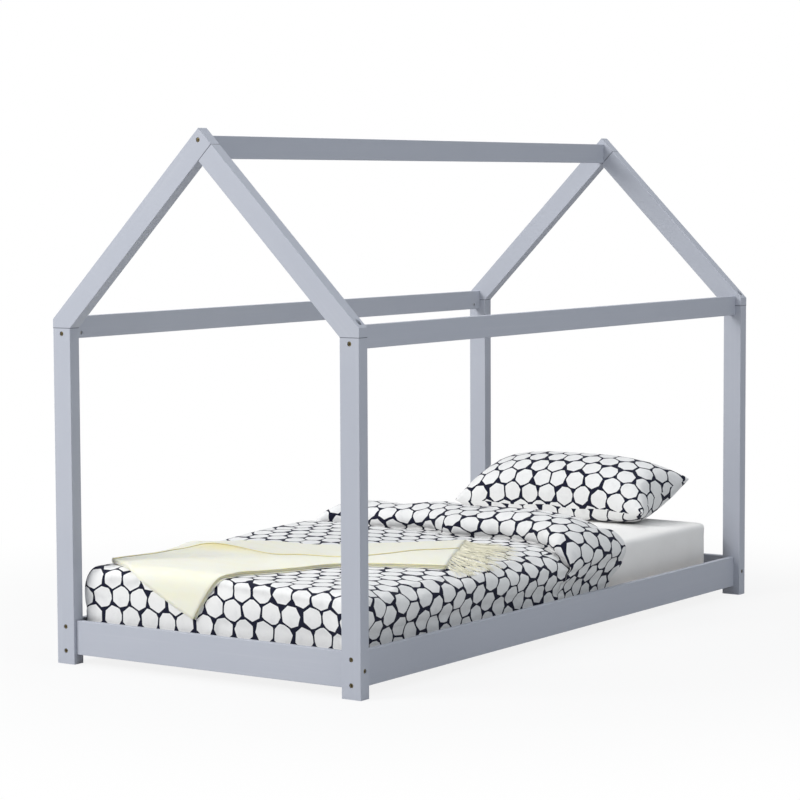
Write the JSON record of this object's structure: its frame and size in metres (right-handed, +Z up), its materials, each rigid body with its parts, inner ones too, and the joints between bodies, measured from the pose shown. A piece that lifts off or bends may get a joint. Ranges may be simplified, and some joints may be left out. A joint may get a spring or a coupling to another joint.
{
  "type": "house-frame child bed",
  "caption": "Low child's bed in a house-shaped timber frame: bolted posts, rails and pitched roof outline over a slatted base, with mattress, duvet, pillow and throw.",
  "frame": {"origin": "on the floor, at the middle of the four posts", "axes": "+X from the foot to the head, +Y to the left of someone lying on the back, +Z up"},
  "size_m": [2.06, 0.98, 1.402],
  "materials": {
    "painted_timber": "satin lilac-grey paint over solid pine, faint grain, slightly eased edges",
    "bare_pine": "planed bare pine",
    "bronzed_steel": "dark antique-brass plating",
    "plated_steel": "zinc plated",
    "beech_dowel": "turned beech",
    "fitted_sheet": "off-white cotton sheet drawn over a foam mattress",
    "printed_cotton": "white cotton printed with dark blue lines between rounded cells",
    "woven_throw": "soft pale yellow woven throw with a knotted fringe"
  },
  "bodies": {
    "frame": {"post_foot_right": "painted_timber", "post_foot_left": "painted_timber", "post_head_right": "painted_timber", "post_head_left": "painted_timber", "rafter_foot_right": "painted_timber", "rafter_foot_left": "painted_timber", "rafter_head_right": "painted_timber", "rafter_head_left": "painted_timber", "eaves_beam_right": "painted_timber", "eaves_beam_left": "painted_timber", "ridge_beam": "painted_timber", "side_rail_right": "painted_timber", "side_rail_left": "painted_timber", "foot_rail": "painted_timber", "head_rail": "painted_timber", "ledger_right": "bare_pine", "ledger_left": "bare_pine", "slat_01": "bare_pine", "slat_02": "bare_pine", "slat_03": "bare_pine", "slat_04": "bare_pine", "slat_05": "bare_pine", "slat_06": "bare_pine", "slat_07": "bare_pine", "slat_08": "bare_pine", "slat_09": "bare_pine", "slat_10": "bare_pine", "slat_11": "bare_pine", "slat_12": "bare_pine", "slat_13": "bare_pine", "side_rail_bolts": "bronzed_steel", "end_rail_bolts": "bronzed_steel", "eaves_bolts": "bronzed_steel", "ridge_bolts": "bronzed_steel", "rafter_bolts": "bronzed_steel", "apex_bolts": "bronzed_steel", "side_rail_nuts": "plated_steel", "end_rail_nuts": "plated_steel", "eaves_nuts": "plated_steel", "ridge_nuts": "plated_steel", "rafter_inserts": "plated_steel", "apex_inserts": "plated_steel", "ledger_screws": "plated_steel", "slat_screws": "plated_steel", "side_rail_dowels": "beech_dowel", "end_rail_dowels": "beech_dowel", "eaves_dowels": "beech_dowel", "ridge_dowels": "beech_dowel", "rafter_dowels": "beech_dowel", "apex_dowels": "beech_dowel"},
    "mattress": {"mattress": "fitted_sheet"},
    "duvet": {"duvet": "printed_cotton", "throw": "woven_throw"},
    "pillow": {"pillow": "printed_cotton"}
  },
  "joints": [
    {"name": "mattress_lift", "type": "slide", "parent": "frame", "child": "mattress", "axis": [0, 0, 1], "range_m": [0, 0.2]},
    {"name": "duvet_lift", "type": "slide", "parent": "mattress", "child": "duvet", "axis": [0, 0, 1], "range_m": [0, 0.25]},
    {"name": "pillow_lift", "type": "slide", "parent": "mattress", "child": "pillow", "axis": [0, 0, 1], "range_m": [0, 0.25]}
  ]
}
